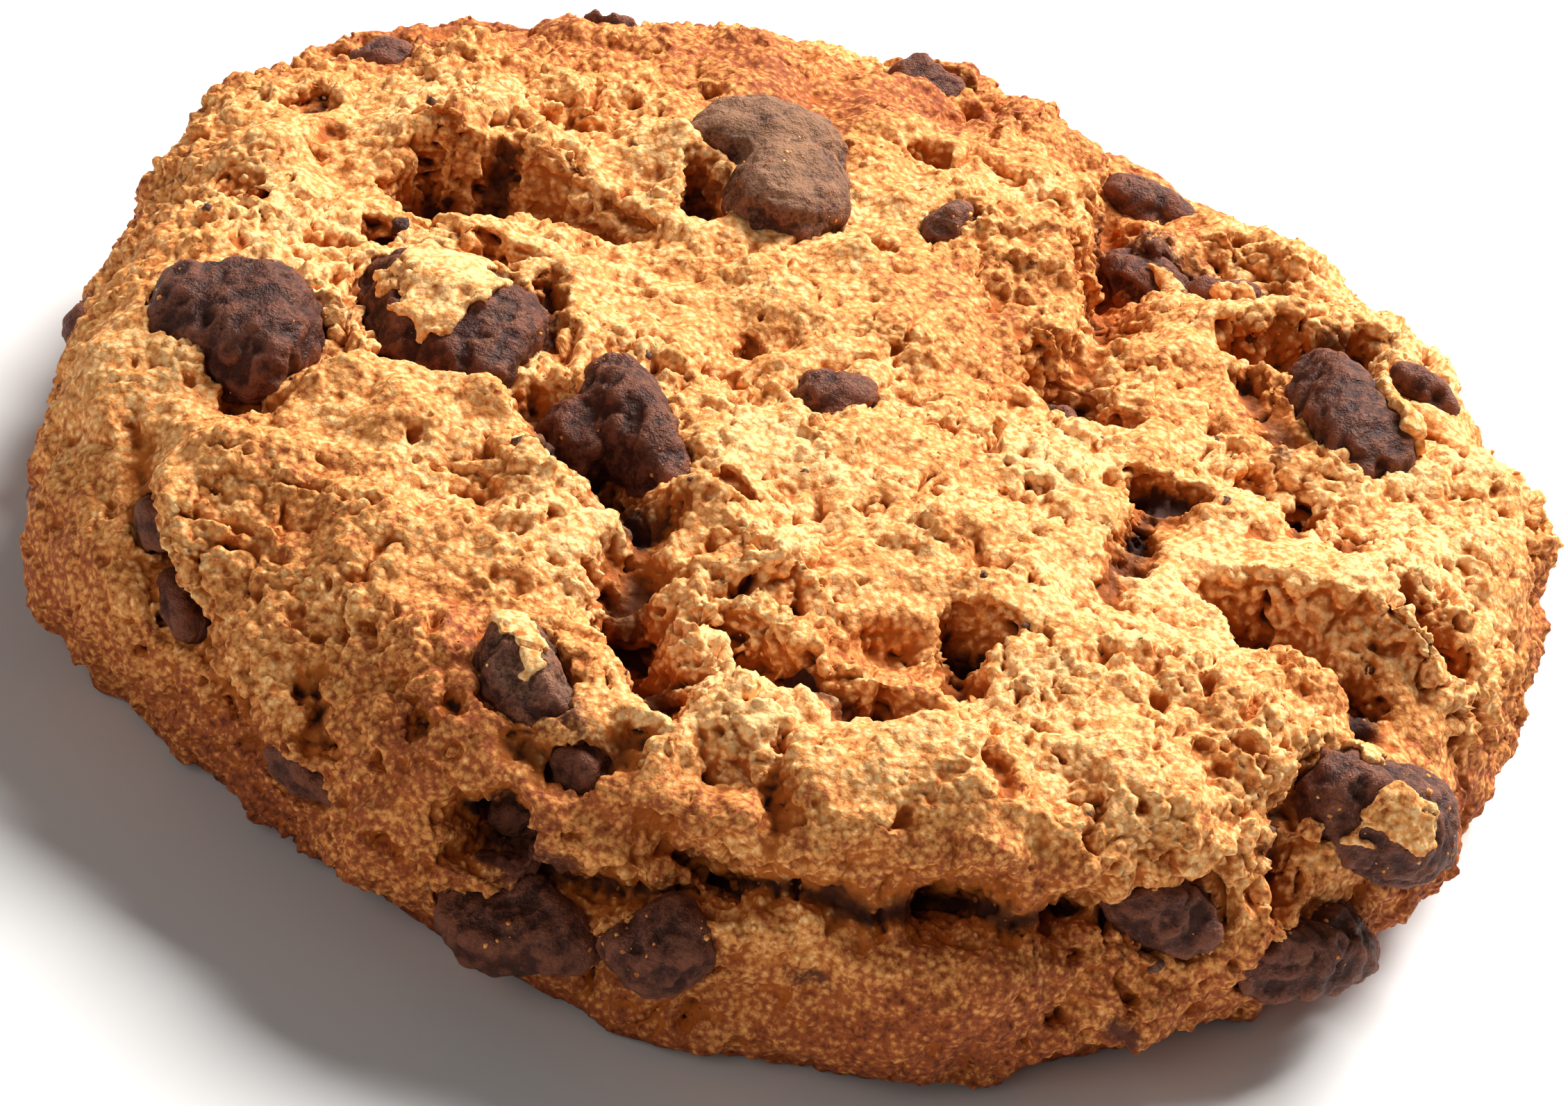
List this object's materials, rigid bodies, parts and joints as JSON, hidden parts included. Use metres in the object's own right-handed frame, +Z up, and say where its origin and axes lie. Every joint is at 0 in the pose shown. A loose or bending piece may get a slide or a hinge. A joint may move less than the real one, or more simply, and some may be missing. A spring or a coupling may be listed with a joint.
{
  "type": "chocolate chip cookie",
  "caption": "Thick round soft-baked biscuit with a cracked, lumpy top, a rounded rim, a flat base and chocolate chunks set in its dough.",
  "frame": {"origin": "middle of the flat base, on the surface that the cookie rests on", "axes": "+Z up through the domed top; -Y towards the side that is nearest in the picture; +X to that view's right"},
  "size_m": [0.0792, 0.0823, 0.0202],
  "materials": {
    "dough": "baked dough: matt, grainy crumb, golden on top, browner on the sides and base, orange-brown in the cracks",
    "chocolate": "dark chocolate: satin, with pale dust, fine scratches and crumbs of dough stuck to it"
  },
  "bodies": {
    "root": {"dough": "dough", "chunk_left_heart": "chocolate", "chunk_dough_capped": "chocolate", "chunk_canyon": "chocolate", "chunk_centre": "chocolate", "chunk_far": "chocolate", "chip_far_small": "chocolate", "chunk_right": "chocolate", "shard_right": "chocolate", "chip_crevice": "chocolate", "chunk_hollow_left": "chocolate", "chunk_hollow_right": "chocolate", "chunk_far_edge_right": "chocolate", "chunk_far_edge": "chocolate", "chip_far_edge_left": "chocolate", "chip_far_edge_middle": "chocolate", "chunk_front_dusted": "chocolate", "chip_front": "chocolate", "chip_front_hollow": "chocolate", "chunk_bottom_left": "chocolate", "chunk_bottom_middle": "chocolate", "chunk_right_capped": "chocolate", "chunk_under_lip": "chocolate", "chunk_bottom_right": "chocolate", "chip_fold": "chocolate", "chip_left_upper": "chocolate", "chip_left_lower": "chocolate", "chip_left_edge": "chocolate", "chunk_left_side": "chocolate", "chunk_back_left": "chocolate", "chunk_back_middle": "chocolate", "chunk_back_right": "chocolate", "chunk_right_side": "chocolate"}
  },
  "joints": []
}
